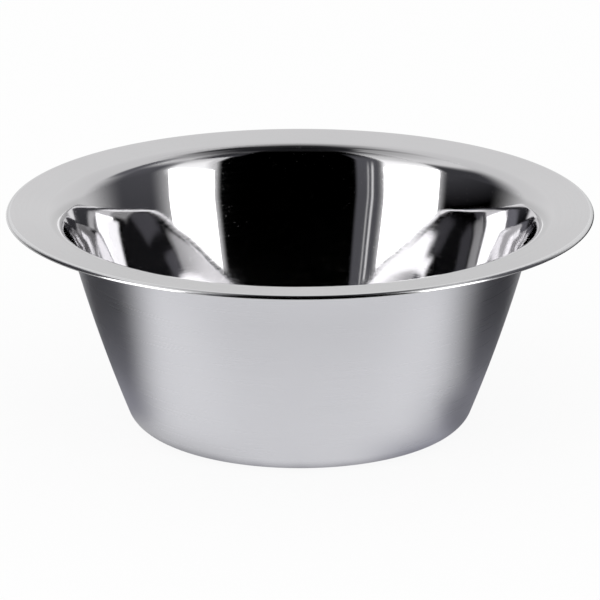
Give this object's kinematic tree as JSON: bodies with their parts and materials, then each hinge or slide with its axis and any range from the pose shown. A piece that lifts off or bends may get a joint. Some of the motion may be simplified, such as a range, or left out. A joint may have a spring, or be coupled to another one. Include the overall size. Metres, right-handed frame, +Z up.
{
  "type": "pet bowl",
  "caption": "Round flared stainless steel feeding bowl with a wide flange and a folded edge. It stands on its flat floor and holds food or water.",
  "frame": {"origin": "under the centre of the floor, on the surface that the bowl stands on", "axes": "+Z up along the axis of the bowl; the bowl is round, so +X and +Y are any two directions square to it"},
  "size_m": [0.21, 0.21, 0.079],
  "materials": {
    "satin_steel": "stainless steel, satin outside and polished inside",
    "polished_steel": "polished stainless steel, not plated"
  },
  "bodies": {
    "root": {"floor": "satin_steel", "side_wall": "satin_steel", "flange": "polished_steel", "rolled_edge": "polished_steel"}
  },
  "joints": []
}
